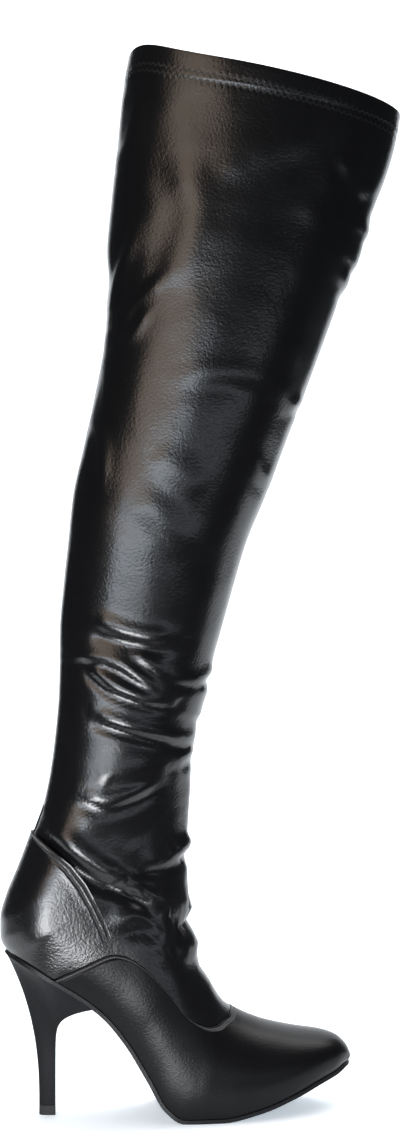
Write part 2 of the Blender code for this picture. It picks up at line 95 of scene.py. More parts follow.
counterRows = ((0.97, 0.319), (1.10, 0.304), (1.21, 0.286), (1.33, 0.261), (1.46, 0.229),
               (1.57, 0.190), (1.65, 0.148), (1.70, 0.118), (1.75, 0.086))
# Stations count the rows of both tables from the toe's point
heelRound = 15.0  # from here the sole's edge rounds the heel
seatStation = 18.0  # the sole's back end
ankleStation = 24.5
collarStation = float(len(footRows) + len(legRows) - 1)
nudge = 0.02  # stations or shares to each side of a place, for its direction
thinnest = 1e-6  # half width at the toe's point
featherLimit = 0.985  # sole edge against half width
soleBlend = 0.005  # height over the sole below which normals turn level
rearAround = 0.999  # from here on a point lies on the back line
tiny = 1e-12  # keeps a division from zero
seamShifts = (-0.03, -0.02, -0.01, 0.0, 0.01, 0.02, 0.03)
mergeDistance = 1e-7
sharpAngle = 0.9  # radians
millimetre = 0.001


def slopesOf(values):  # smooth curve through even rows, flat at each high and low
    steps = np.diff(values)
    result = np.zeros(len(values))
    result[0] = steps[0]
    result[-1] = steps[-1]
    before = steps[:-1]
    after = steps[1:]
    same = before * after > 0.0
    total = np.where(same, before + after, 1.0)
    result[1:-1] = np.where(same, 2.0 * before * after / total, 0.0)
    return result


def makeSections():
    table = {}
    foot = {name: np.array([row[n] for row in footRows]) for n, name in enumerate(footNames)}
    leg = {name: np.array([row[n] for row in legRows]) for n, name in enumerate(legNames)}
    bottom = boot["sole"] + boot["fit"] + foot["rise"] * boot["heel"]
    top = bottom + foot["thick"] * boot["instep"]
    ankleX = foot["along"][-1] * boot["length"]
    ankleZ = bottom[-1]
    tall = boot["height"] - ankleZ
    none = np.zeros(len(legRows))
    join = np.concatenate
    deep = boot["collarDepth"]
    table["bx"] = join((foot["along"] * boot["length"], ankleX + leg["back"] * deep))
    table["bz"] = join((bottom, ankleZ + leg["riseBack"] * tall))
    table["tx"] = join((foot["reach"] * boot["length"], ankleX + leg["front"] * deep))
    table["tz"] = join((top, ankleZ + leg["riseFront"] * tall))
    table["half"] = join((foot["half"] * boot["ball"], leg["half"] * boot["collarWidth"]))
    table["feather"] = join((foot["feather"] * boot["ball"], none))
    table["widest"] = join((foot["widest"], none + 0.5))
    table["crown"] = join((foot["crown"], leg["crown"]))
    table["base"] = join((np.minimum(foot["crown"], 1.0), leg["crown"]))
    table["swing"] = join((foot["swing"] * boot["ball"], none))
    return {name: (values, slopesOf(values)) for name, values in table.items()}


sections = makeSections()


def curveAt(values, tangents, place):  # cubic between even rows
    index = np.minimum(place.astype(int), len(values) - 2)
    part = place - index
    turn = part * part * (3.0 - 2.0 * part)
    lead = part * (1.0 - part) ** 2
    trail = part * part * (part - 1.0)
    return (values[index] * (1.0 - turn) + values[index + 1] * turn
            + tangents[index] * lead + tangents[index + 1] * trail)


def sized(name, station):
    values, tangents = sections[name]
    return curveAt(values, tangents, np.clip(station, 0.0, len(values) - 1.0))


def sizedAt(name, station):
    return sized(name, np.array([station]))[0]


def featherOf(station):  # half width of the sole's edge, an ellipse round the heel
    front = sizedAt("bx", heelRound)
    back = sizedAt("bx", seatStation)
    wide = sizedAt("feather", heelRound)
    place = sized("bx", np.minimum(station, seatStation))
    part = np.clip((front - place) / (front - back), 0.0, 1.0)
    curved = wide * np.sqrt(1.0 - part * part)
    return np.where(station > heelRound, curved, sized("feather", station))


def skinPoint(station, around):  # around: -1 outer edge, 0 front, 1 inner edge
    swing = sized("swing", station)
    bottom = np.stack((sized("bx", station), swing, sized("bz", station)), axis=-1)
    top = np.stack((sized("tx", station), swing, sized("tz", station)), axis=-1)
    half = np.maximum(sized("half", station), thinnest)
    feather = np.minimum(np.maximum(featherOf(station), 0.0), featherLimit * half)
    widest = sized("widest", station)
    lowPower = sized("base", station)
    start = np.arcsin((feather / half) ** (1.0 / lowPower))
    angle = math.pi - (math.pi - start) * np.minimum(np.abs(around), 1.0)
    sine = np.maximum(np.sin(angle), 0.0)
    below = angle < 0.5 * math.pi
    share = np.where(below, widest * (1.0 - np.cos(angle) / np.cos(start)),
                     widest - (1.0 - widest) * np.cos(angle))
    wide = half * np.where(below, sine ** lowPower, sine ** sized("crown", station))
    point = bottom + (top - bottom) * share[..., None]
    point[..., 1] += np.copysign(wide, around)
    return point


def unitOf(vectors):
    return vectors / np.maximum(np.linalg.norm(vectors, axis=-1, keepdims=True), tiny)


def soleSquare(station):  # the sole's forward direction and the one square to it, upwards
    place = np.minimum(station, seatStation)
    low = np.maximum(place - nudge, 0.0)
    high = np.minimum(place + nudge, seatStation)
    forward = unitOf(np.stack((sized("bx", low) - sized("bx", high), np.zeros_like(low),
                               sized("bz", low) - sized("bz", high)), axis=-1))
    return forward, np.stack((-forward[..., 2], np.zeros_like(low), forward[..., 0]), axis=-1)


def skinNormal(station, around):
    forward, square = soleSquare(station)
    low = np.maximum(station - nudge, 1.5 * nudge)
    high = np.minimum(station + nudge, collarStation)
    lengthwise = skinPoint(high, around) - skinPoint(low, around)
    middle = 0.5 * (low + high)
    across = (skinPoint(middle, np.minimum(around + nudge, 1.0))
              - skinPoint(middle, np.maximum(around - nudge, -1.0)))
    normal = unitOf(np.cross(across, lengthwise))
    rear = (np.abs(around) > rearAround) & (station > seatStation)
    normal[..., 1] = np.where(rear, 0.0, normal[..., 1])
    normal = unitOf(normal)
    place = np.minimum(station, seatStation)
    bottom = np.stack((sized("bx", place), np.zeros_like(place), sized("bz", place)), axis=-1)
    level = np.sum((skinPoint(station, around) - bottom) * square, axis=-1)
    blend = np.clip(1.0 - level / soleBlend, 0.0, 1.0)
    normal = unitOf(normal - square * (np.sum(normal * square, axis=-1) * blend)[..., None])
    return np.where((station < nudge)[..., None], forward, normal)


def seamStation(around):  # rounded at its corners
    places = [row[0] for row in seamRows]
    stations = [row[1] for row in seamRows]
    total = sum(np.interp(np.abs(around + shift), places, stations) for shift in seamShifts)
    return total / len(seamShifts)


def toBoot(points):
    return points - np.array((boot["middle"], 0.0, 0.0))


def seamLine(around, height, shift):  # the seam's row, shifted across it towards the shaft
    station = seamStation(around)
    points = skinPoint(station, around)
    along = unitOf(np.gradient(points, axis=0))
    normal = skinNormal(station, around)
    return points + normal * height + unitOf(np.cross(normal, along)) * shift


# Building blocks
def gridInto(work, points, keep=None, layers=(), marks=()):  # a grid laid on an array of places
    rows, columns = points.shape[:2]
    made = bmesh.ops.create_grid(work, x_segments=columns - 1, y_segments=rows - 1, size=1.0)
    spots = {}
    for vert in made["verts"]:
        column = int(round((vert.co.x + 1.0) * 0.5 * (columns - 1)))
        spots[vert] = (int(round((vert.co.y + 1.0) * 0.5 * (rows - 1))), column)
    if keep is not None:
        gone = []
        for face in {face for vert in made["verts"] for face in vert.link_faces}:
            row = min(spots[vert][0] for vert in face.verts)
            column = min(spots[vert][1] for vert in face.verts)
            if not keep[row, column]:
                gone.append(face)
        bmesh.ops.delete(work, geom=gone, context="FACES_ONLY")
    for vert, spot in spots.items():
        vert.co = Vector(points[spot])
        for layer, mark in zip(layers, marks):
            vert[layer] = float(mark[spot])
    bmesh.ops.remove_doubles(work, verts=made["verts"], dist=mergeDistance)
    return [vert for vert in made["verts"] if vert.is_valid]


def borderLoops(verts):  # the border's edges, in connected loops
    edges = {edge for vert in verts for edge in vert.link_edges if edge.is_boundary}
    loops = []
    while edges:
        loop = [edges.pop()]
        ends = list(loop[0].verts)
        while ends:
            vert = ends.pop()
            for edge in [edge for edge in vert.link_edges if edge in edges]:
                edges.remove(edge)
                loop.append(edge)
                ends.append(edge.other_vert(vert))
        loops.append(loop)
    return loops


def loopMiddle(loop):
    return sum((vert.co for edge in loop for vert in edge.verts), Vector()) / (2.0 * len(loop))


def wallPiece(info, outer, inner, marks=(), keep=None):  # two skins joined at their borders
    work = bmesh.new()
    layers = [work.verts.layers.float.new(name) for name in info.get("marks", ())]
    outLoops = borderLoops(gridInto(work, outer, keep, layers, marks))
    inLoops = borderLoops(gridInto(work, inner, keep))
    for loop in outLoops:
        middle = loopMiddle(loop)
        mate = min(inLoops, key=lambda other: (loopMiddle(other) - middle).length)
        bmesh.ops.bridge_loops(work, edges=loop + mate)
    return finishPiece(info, work)


def finishPiece(info, work):  # outward faces, smooth but for sharp edges, riding on the boot
    bmesh.ops.recalc_face_normals(work, faces=work.faces[:])
    for face in work.faces:
        face.smooth = True
    for edge in work.edges:
        if len(edge.link_faces) == 2 and edge.calc_face_angle(0.0) > info.get("sharp", sharpAngle):
            edge.smooth = False
    mesh = bpy.data.meshes.new(info["name"])
    work.to_mesh(mesh)
    work.free()
    piece = bpy.data.objects.new(info["name"], mesh)
    bpy.context.scene.collection.objects.link(piece)
    mesh.materials.append(info["material"])
    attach(piece, "root")
    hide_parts(*info["replaces"])
    print(info["name"], len(mesh.polygons), "faces")
    return piece


def reachAlong(points, axis, fromEnd):  # distance run along an array's rows or columns
    steps = np.linalg.norm(np.diff(points, axis=axis), axis=-1)
    total = np.cumsum(steps, axis=axis)
    start = np.zeros_like(np.take(total, [0], axis=axis))
    run = np.concatenate((start, total), axis=axis)
    return np.take(run, [-1], axis=axis) - run if fromEnd else run


# Creases: side (-1 outer only, 0 both), height and width in mm, lip (depth of the trough beside it
# as a share of the height), then points in mm, forward of the boot's middle and above the floor
creases = (
    (0, 1.2, 5.0, 0.6, ((-44, 672), (-48, 646), (-53, 629))),
    (-1, 1.5, 12.0, 0.5, ((-16, 628), (-15, 612), (-9, 592), (-13, 572), (-21, 552), (-30, 539))),
    (-1, -0.6, 12.0, 0.0, ((-15, 667), (-5, 652), (-3, 629))),
    (-1, 0.8, 12.0, 0.4, ((-3, 611), (24, 624), (45, 632), (71, 640))),
    (-1, 0.4, 8.0, 0.4, ((51, 600), (75, 587), (94, 583))),
    (0, 1.6, 4.5, 0.8, ((-47, 582), (-56, 554), (-60, 536), (-61, 524))),
    (0, 1.0, 5.0, 0.6, ((-26, 550), (-41, 537), (-52, 527), (-60, 520))),
    (0, 1.2, 4.0, 0.7, ((-39, 529), (-49, 512), (-59, 504))),
    (0, 1.0, 6.0, 0.7, ((122, 644), (111, 615), (103, 610))),
    (0, 0.9, 6.0, 0.7, ((86, 627), (98, 612), (111, 603))),
    (0, 1.2, 7.0, 0.6, ((97, 591), (108, 588), (115, 590))),
    (0, 1.2, 7.0, 0.6, ((88, 556), (97, 549), (101, 548))),
    (0, 2.5, 12.0, 0.0, ((106, 592), (103, 574), (98, 556))),
    (-1, 0.8, 8.0, 0.5, ((-24, 483), (15, 486), (44, 477), (57, 463))),
    (-1, 1.0, 4.0, 0.5, ((-63, 498), (-65, 472), (-67, 457))),
    (-1, 1.2, 4.0, 0.6, ((-73, 461), (-68, 440), (-69, 411))),
    (-1, 0.9, 10.0, 0.4, ((-38, 436), (-20, 422), (-3, 407))),
    (-1, 0.9, 10.0, 0.4, ((-51, 407), (-28, 388), (-5, 370))),
    (0, 1.2, 4.0, 0.7, ((53, 464), (61, 470), (65, 472))),
    (-1, 0.8, 6.0, 0.5, ((28, 436), (34, 424), (44, 418))),
    (-1, 0.8, 4.0, 0.5, ((-86, 379), (-89, 356), (-92, 332), (-93, 312))),
    (-1, 2.0, 6.0, 1.0, ((-75, 327), (-66, 324), (-51, 319), (-35, 316), (-20, 316))),
    (-1, 1.0, 3.5, 0.8, ((-47, 305), (-40, 300), (-29, 292))),
    (-1, 1.8, 4.0, 0.9, ((-89, 302), (-79, 303), (-69, 302), (-57, 298), (-45, 290), (-30, 280))),
    (-1, 1.6, 4.0, 1.1, ((-77, 298), (-73, 294), (-63, 285), (-49, 279), (-33, 274), (-23, 274))),
    (0, 1.4, 4.0, 0.8, ((-29, 292), (-15, 288), (-5, 288), (5, 293), (8, 296))),
    (-1, 1.8, 4.5, 1.1, ((-73, 267), (-68, 264), (-56, 260), (-43, 256), (-27, 252), (-15, 248),
                         (-4, 250))),
    (0, 3.0, 12.0, 0.0, ((0, 288), (-2, 272), (-4, 258))),
    (-1, 1.0, 6.0, 0.9, ((-72, 224), (-63, 228), (-49, 229), (-33, 230))),
    (-1, 1.6, 5.5, 1.0, ((-84, 216), (-73, 212), (-63, 210), (-45, 216), (-30, 224))),
    (0, 1.4, 5.0, 0.8, ((-20, 234), (-12, 238), (-7, 243))),
    (-1, 3.2, 7.0, 1.3, ((-101, 194), (-97, 188), (-87, 179), (-75, 170), (-61, 162), (-48, 158))),
    (-1, 0.8, 7.0, 0.3, ((-69, 181), (-47, 175), (-26, 174))),
    (-1, 1.2, 5.0, 1.0, ((-47, 168), (-33, 168), (-23, 170), (-11, 177))),
    (-1, 2.2, 5.5, 1.3, ((-55, 158), (-41, 150), (-28, 142), (-16, 137))),
    (-1, 1.0, 4.0, 0.9, ((-43, 144), (-30, 140), (-17, 141), (-9, 144))),
    (-1, 2.4, 6.0, 0.9, ((-63, 128), (-47, 134), (-33, 132), (-21, 128))),
    (-1, 2.2, 5.0, 1.0, ((-33, 112), (-27, 120), (-19, 129))),
    (0, 2.6, 6.0, 1.0, ((-20, 174), (-12, 177), (-7, 179))),
    (0, 3.0, 6.0, 1.1, ((-20, 139), (-12, 134), (-7, 136))),
    (0, 3.0, 8.0, 0.8, ((-19, 114), (-11, 112), (-3, 110))),
)


# How a crease is drawn: points on its line, reach in widths, share of its run over which it fades,
# height left at its ends, and the trough beside it in widths
creaseShape = {"points": 14, "reach": 4.0, "fade": 0.25, "ends": 0.25, "troughAt": 1.3,
               "troughWide": 0.8, "troughEnds": 2.0}


def smoothLine(points, count):  # a curve through a crease's points
    place = np.linspace(0.0, len(points) - 1.0, count)
    columns = [curveAt(values, np.gradient(values), place) for values in points.T]
    return np.stack(columns, axis=-1)


def creaseHeight(points):  # height over the skin from all the creases
    height = np.zeros(points.shape[:2])
    flat = points[..., [0, 2]]
    outer = points[..., 1] < 0.0
    look = creaseShape
    for side, rise, width, lip, spots in creases:
        line = smoothLine(np.array(spots) * millimetre, look["points"])
        wide = width * millimetre
        low = line.min(axis=0) - look["reach"] * wide
        high = line.max(axis=0) + look["reach"] * wide
        near = np.all((flat > low) & (flat < high), axis=-1)
        if side < 0:
            near &= outer
        spot = flat[near]
        best = np.full(len(spot), np.inf)
        signed = np.zeros(len(spot))
        run = np.zeros(len(spot))
        for number in range(len(line) - 1):
            start = line[number]
            step = line[number + 1] - start
            length = math.hypot(*step)
            part = np.clip(((spot - start) @ step) / length ** 2, 0.0, 1.0)
            away = spot - (start + part[:, None] * step)
            gap = np.linalg.norm(away, axis=-1)
            closer = gap < best
            best = np.where(closer, gap, best)
            turn = np.sign(step[0] * away[:, 1] - step[1] * away[:, 0])
            signed = np.where(closer, turn * gap, signed)
            run = np.where(closer, (number + part) / (len(line) - 1.0), run)
        fade = np.clip(np.minimum(run, 1.0 - run) / look["fade"], 0.0, 1.0)
        fade = look["ends"] + (1.0 - look["ends"]) * fade * fade * (3.0 - 2.0 * fade)
        ridge = np.exp(-(best / wide) ** 2)
        beside = np.exp(-(np.maximum(best / wide - look["troughEnds"], 0.0)) ** 2)
        trough = np.exp(-((signed / wide + look["troughAt"]) / look["troughWide"]) ** 2) * beside
        height[near] += rise * millimetre * fade * (ridge - lip * trough)
    return height


# Materials
def newMaterial(name, color, rough, specular):
    material = bpy.data.materials.new(name)
    material.use_nodes = True
    tree = material.node_tree
    shader = tree.nodes["Principled BSDF"]
    shader.inputs["Base Color"].default_value = (*color, 1.0)
    shader.inputs["Roughness"].default_value = rough
    shader.inputs["Specular IOR Level"].default_value = specular
    return material, tree, shader


def makeGroup(name, inputs, outputs):
    group = bpy.data.node_groups.new(name, "ShaderNodeTree")
    for label, kind, value in inputs:
        socket = group.interface.new_socket(name=label, in_out="INPUT", socket_type=kind)
        socket.default_value = value
    for label, kind in outputs:
        group.interface.new_socket(name=label, in_out="OUTPUT", socket_type=kind)
    return group, group.nodes.new("NodeGroupInput"), group.nodes.new("NodeGroupOutput")


def math2(tree, operation, first, second=None, third=None):
    node = tree.nodes.new("ShaderNodeMath")
    node.operation = operation
    for socket, value in zip(node.inputs, (first, second, third)):
        if value is None:
            continue
        if isinstance(value, float):
            socket.default_value = value
        else:
            tree.links.new(value, socket)
    return node.outputs[0]


def noiseOf(tree, scale, detail=3.0, rough=0.5):  # in the piece's own metres
    place = tree.nodes.new("ShaderNodeTexCoord").outputs["Object"]
    node = tree.nodes.new("ShaderNodeTexNoise")
    node.inputs["Scale"].default_value = scale
    node.inputs["Detail"].default_value = detail
    node.inputs["Roughness"].default_value = rough
    tree.links.new(place, node.inputs["Vector"])
    return node.outputs["Fac"]


grainNoise = {"Grain": (640.0, 1.5, 0.6), "Cloud": (34.0, 1.0, 0.4)}  # scale, detail, roughness


def makeGrain():  # pebbled leather: fine bumps, and wide ones that also change the gloss
    outputs = [(name, "NodeSocketFloat") for name in grainNoise]
    group, _, end = makeGroup("leatherGrain", [], outputs)
    for name, look in grainNoise.items():
        group.links.new(noiseOf(group, *look), end.inputs[name])
    return group


stitchLook = {"ends": 5.0, "dentReach": 3.5}  # how abruptly a stitch ends, its dent in widths


def makeStitches():  # a row of stitches beside an edge, from the piece's own distances
    inputs = {"Gap": 0.0, "Run": 0.0, "Offset": 0.003, "Pitch": 0.003, "Swing": 0.0, "Width": 0.0004}
    group, start, end = makeGroup(
        "stitchRow", [(name, "NodeSocketFloat", value) for name, value in inputs.items()],
        [("Thread", "NodeSocketFloat"), ("Dent", "NodeSocketFloat")])
    turns = math2(group, "DIVIDE", start.outputs["Run"], start.outputs["Pitch"])
    wave = math2(group, "SUBTRACT", math2(group, "PINGPONG", turns, 1.0), 0.5)
    swing = math2(group, "MULTIPLY", wave, start.outputs["Swing"])
    level = math2(group, "ADD", start.outputs["Offset"], swing)
    away = math2(group, "ABSOLUTE", math2(group, "SUBTRACT", start.outputs["Gap"], level))
    share = math2(group, "DIVIDE", away, start.outputs["Width"])
    across = math2(group, "MAXIMUM", math2(group, "SUBTRACT", 1.0, share), 0.0)
    part = math2(group, "SUBTRACT", math2(group, "FRACT", turns), 0.5)
    middle = math2(group, "MULTIPLY", math2(group, "ABSOLUTE", part), 2.0)
    ends = math2(group, "MULTIPLY", math2(group, "SUBTRACT", 1.0, middle), stitchLook["ends"])
    long = math2(group, "MINIMUM", ends, 1.0)
    thread = math2(group, "SQRT", math2(group, "MULTIPLY", across, long))
    group.links.new(thread, end.inputs["Thread"])
    far = math2(group, "DIVIDE", share, stitchLook["dentReach"])
    dent = math2(group, "MAXIMUM", math2(group, "SUBTRACT", 1.0, far), 0.0)
    group.links.new(dent, end.inputs["Dent"])
    return group


grainGroup = makeGrain()
stitchGroup = makeStitches()


def addBump(tree, shader, height, distance):
    bump = tree.nodes.new("ShaderNodeBump")
    bump.inputs["Distance"].default_value = distance
    tree.links.new(height, bump.inputs["Height"])
    tree.links.new(bump.outputs["Normal"], shader.inputs["Normal"])


def leatherMaterial(info):
    material, tree, shader = newMaterial(info["name"], info["color"], info["rough"], info["specular"])
    grain = tree.nodes.new("ShaderNodeGroup")
    grain.node_tree = grainGroup
    spread = info["roughSpread"]
    rough = math2(tree, "MULTIPLY_ADD", grain.outputs["Cloud"], spread, info["rough"] - 0.5 * spread)
    height = math2(tree, "MULTIPLY", grain.outputs["Grain"], info["grainDepth"])
    height = math2(tree, "MULTIPLY_ADD", grain.outputs["Cloud"], info["cloudDepth"], height)
    threads = 0.0
    for row in info["stitches"]:
        stitch = tree.nodes.new("ShaderNodeGroup")
        stitch.node_tree = stitchGroup
        for label, socket in ((row["gap"], "Gap"), (row["run"], "Run")):
            node = tree.nodes.new("ShaderNodeAttribute")
            node.attribute_name = label
            tree.links.new(node.outputs["Fac"], stitch.inputs[socket])
        for socket in ("Offset", "Pitch", "Swing", "Width"):
            stitch.inputs[socket].default_value = row[socket]
        dent = math2(tree, "MULTIPLY", stitch.outputs["Dent"], -row["dent"])
        height = math2(tree, "ADD", height, dent)
        height = math2(tree, "MULTIPLY_ADD", stitch.outputs["Thread"], row["rise"], height)
        threads = math2(tree, "MAXIMUM", stitch.outputs["Thread"], threads)
    mix = tree.nodes.new("ShaderNodeMix")
    mix.data_type = "RGBA"
    tree.links.new(threads, mix.inputs["Factor"])
    mix.inputs[6].default_value = (*info["color"], 1.0)  # colour A
    mix.inputs[7].default_value = (*info["thread"], 1.0)  # colour B
    tree.links.new(mix.outputs[2], shader.inputs["Base Color"])
    rough = math2(tree, "MULTIPLY_ADD", threads, info["threadRough"], rough)
    tree.links.new(rough, shader.inputs["Roughness"])
    addBump(tree, shader, height, 1.0)
    return material


leatherColor = (0.0035, 0.0035, 0.004)
darkThread = (0.002, 0.002, 0.002)
shaftFinish = leatherMaterial({
    "name": "shaftFinish", "color": leatherColor, "rough": 0.24, "specular": 0.6,
    "roughSpread": 0.08, "grainDepth": 0.00016, "cloudDepth": 0.0009,
    "thread": darkThread, "threadRough": 0.25,
    "stitches": (
        {"gap": "rimGap", "run": "rimRun", "Offset": 0.0123, "Pitch": 0.0022, "Swing": 0.0018,
         "Width": 0.0008, "dent": 0.00015, "rise": 0.0},
        {"gap": "rimGap", "run": "rimRun", "Offset": 0.0168, "Pitch": 0.0022, "Swing": 0.0018,
         "Width": 0.0008, "dent": 0.00015, "rise": 0.0})})
vampFinish = leatherMaterial({
    "name": "vampFinish", "color": leatherColor, "rough": 0.32, "specular": 0.16,
    "roughSpread": 0.10, "grainDepth": 0.00012, "cloudDepth": 0.0006,
    # the vamp's thread colour is painted light grey, lighter than the dark thread itself: partly the
    # thread's colour, partly a painted highlight on the seam's lit top edge
    "thread": (0.07, 0.07, 0.072), "threadRough": 0.3,
    "stitches": (
        {"gap": "seamGap", "run": "seamRun", "Offset": 0.0022, "Pitch": 0.0024, "Swing": 0.0,
         "Width": 0.0007, "dent": 0.0012, "rise": 0.0005},)})
counterFinish = leatherMaterial({
    "name": "counterFinish", "color": leatherColor, "rough": 0.27, "specular": 0.6,
    "roughSpread": 0.08, "grainDepth": 0.0002, "cloudDepth": 0.0004,
    "thread": darkThread, "threadRough": 0.6,
    "stitches": (
        {"gap": "edgeGap", "run": "edgeRun", "Offset": 0.0014, "Pitch": 0.0022, "Swing": 0.0,
         "Width": 0.0006, "dent": 0.0007, "rise": 0.0002},
        {"gap": "edgeGap", "run": "edgeRun", "Offset": 0.0048, "Pitch": 0.0022, "Swing": 0.0,
         "Width": 0.0006, "dent": 0.0007, "rise": 0.0002})})


plainSpread = 0.12  # change of roughness over a plain surface
plainNoise = (4.0, 0.6)  # its detail and roughness


def plainMaterial(info):
    material, tree, shader = newMaterial(info["name"], info["color"], info["rough"], info["specular"])
    cloud = noiseOf(tree, info["scale"], *plainNoise)
    rough = math2(tree, "MULTIPLY_ADD", cloud, plainSpread, info["rough"] - 0.5 * plainSpread)
    tree.links.new(rough, shader.inputs["Roughness"])
    addBump(tree, shader, noiseOf(tree, info["fine"]), info["depth"])
    return material


soleFinish = plainMaterial({"name": "soleFinish", "color": (0.005, 0.005, 0.006), "rough": 0.45,
                            "specular": 0.2, "scale": 90.0, "fine": 900.0, "depth": 0.0002})
heelFinish = plainMaterial({"name": "heelFinish", "color": (0.006, 0.006, 0.007), "rough": 0.6,
                            "specular": 0.12, "scale": 120.0, "fine": 1400.0, "depth": 0.0002})
liftFinish = plainMaterial({"name": "liftFinish", "color": (0.012, 0.012, 0.012), "rough": 0.6,
                            "specular": 0.3, "scale": 200.0, "fine": 1500.0, "depth": 0.0003})
liningFinish = plainMaterial({"name": "liningFinish", "color": (0.055, 0.050, 0.046), "rough": 0.8,
                              "specular": 0.2, "scale": 150.0, "fine": 1800.0, "depth": 0.0005})
for node, finish in (("top_lift", liftFinish), ("insole", liningFinish)):
    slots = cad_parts[node].data.materials
    slots.clear()
    slots.append(finish)
print("materials ready")


# Vamp
vamp = {"name": "vampSkin", "slot": "upper_vamp", "replaces": ["upper_vamp"], "material": vampFinish,
        "marks": ("seamGap", "seamRun"), "columns": 151, "rows": 130, "crowd": 0.85,
        "outside": 0.0006, "inside": -0.0012, "toeRise": 0.0008, "toeStation": 3.0}


def makeVamp(info):
    around = np.linspace(-1.0, 1.0, info["columns"])
    share = np.linspace(0.0, 1.0, info["rows"] + 1)[:-1] ** info["crowd"]
    station = seamStation(around)[None, :] * share[:, None]
    places = np.broadcast_to(around, station.shape)
    sides = []
    bulge = np.exp(-(station - info["toeStation"]) ** 2) * (1.0 - np.abs(places))
    toe = info["toeRise"] * bulge
    for height in (info["outside"], info["inside"]):
        body = skinPoint(station, places) + skinNormal(station, places) * (height + toe)[..., None]
        body[0] = body[0, 0]
        edge = seamLine(around, height, -0.5 * boot["seam"])
        sides.append(toBoot(np.concatenate((body, edge[None]))))
    outer, inner = sides
    gap = reachAlong(outer, 0, True)
    run = np.broadcast_to(reachAlong(outer[-1:], 1, False), gap.shape)
    return wallPiece(info, outer, inner, (gap, run))


makeVamp(vamp)

# Shaft
shaft = {"name": "shaftSkin", "slot": "upper_shaft", "replaces": ["upper_shaft"],
         "material": shaftFinish, "marks": ("rimGap", "rimRun"), "columns": 213, "settle": 2.5,
         "stillRows": 7, "rimReach": 0.03, "rimWaves": ((0.005, 0.85, 0.13), (0.004, 0.10, 0.12)),
         "runRow": -3,
         # each side's level, rows of the strip, the ankle and the leg, then the hem's rows and rise
         "sides": (
             {"level": 0.0, "counts": (14, 50, 190), "hem": (0.02, 0.06, 0.12, 0.4, 0.7, 0.93, 1.0),
              "hemRise": (0.000075, 0.00024, 0.0003, 0.0003, 0.0003, 0.000225, 0.00003)},
             {"level": -0.0012, "counts": (14, 25, 95), "hem": (0.3, 0.7, 1.0),
              "hemRise": (0.0, 0.0, 0.0)})}


def shaftRows(info, around, counts, hemStations):  # rows leave the seam's shape on their way up
    start = seamStation(np.array([1.0]))[0]
    drop = boot["hem"] / (sizedAt("bz", collarStation) - sizedAt("bz", collarStation - 1.0))
    hemStart = collarStation - drop
    strip = np.linspace(start, seatStation, counts[0] + 1)[1:]
    rise = np.linspace(seatStation, ankleStation, counts[1] + 1)[1:]
    leg = np.linspace(ankleStation, hemStart, counts[2] + 1)[1:]
    hem = hemStart + np.array(hemStations) * drop
    low = np.concatenate((strip, rise))
    share = ((low - start) / (ankleStation - start))[:, None]
    short = start - seamStation(around)
    settled = low[:, None] - short * (1.0 - share) ** info["settle"]
    upper = np.concatenate((leg, hem))[:, None] * np.ones_like(around)
    return np.concatenate((settled, upper))


def makeShaft(info):
    around = np.linspace(-1.0, 1.0, info["columns"])
    sides = []
    for side in info["sides"]:
        station = shaftRows(info, around, side["counts"], side["hem"])
        places = np.broadcast_to(around, station.shape)
        level = np.full(station.shape, side["level"])
        level[-len(side["hem"]):] += np.array(side["hemRise"])[:, None]
        seam = seamLine(around, side["level"], 0.5 * boot["seam"])
        points = np.concatenate((seam[None], skinPoint(station, places)))
        seamNormal = skinNormal(seamStation(around), around)
        normal = np.concatenate((seamNormal[None], skinNormal(station, places)))
        level = np.concatenate((np.zeros((1, len(around))), level))
        still = np.ones(level.shape)
        still[0] = 0.0
        still[1:1 + info["stillRows"]] = np.linspace(0.0, 1.0, info["stillRows"])[:, None]
        level += creaseHeight(toBoot(points)) * still
        points = points + normal * level[..., None]
        above = points[..., 2] - boot["height"] + info["rimReach"]
        high = np.clip(above / info["rimReach"], 0.0, 1.0)
        wave = sum(rise * np.exp(-((np.abs(around) - place) / wide) ** 2)
                   for rise, place, wide in info["rimWaves"])
        points[..., 2] += wave * high * high
        sides.append(toBoot(points))
    outer, inner = sides
    gap = reachAlong(outer, 0, True)
    run = np.broadcast_to(reachAlong(outer[info["runRow"]][None], 1, False), gap.shape)
    return wallPiece(info, outer, inner, (gap, run))


makeShaft(shaft)

# Counter
counter = {"name": "counterSkin", "slot": "counter", "replaces": ["counter"],
           "material": counterFinish, "marks": ("edgeGap", "edgeRun"), "columns": 50,
           "low": (15.05, 17.93, 18), "high": (18.12, 22.95, 60), "rear": 0.98, "outside": 0.0016,
           "inside": 0.0006, "seamRise": 0.0009, "seamPlace": 0.0031, "seamWidth": 0.0016,
           "search": (0.1, 0.97, 24)}


def counterFront(station, search):  # how far round the front edge lies, by halving
    heights = [row[0] * boot["heel"] for row in counterRows]
    places = [row[1] * boot["length"] for row in counterRows]
    ahead = np.full(len(station), search[0])
    behind = np.full(len(station), search[1])
    for _ in range(search[2]):
        middle = 0.5 * (ahead + behind)
        point = skinPoint(station, middle)
        front = point[:, 0] > np.interp(point[:, 2], heights, places)
        ahead = np.where(front, middle, ahead)
        behind = np.where(front, behind, middle)
    return 0.5 * (ahead + behind)


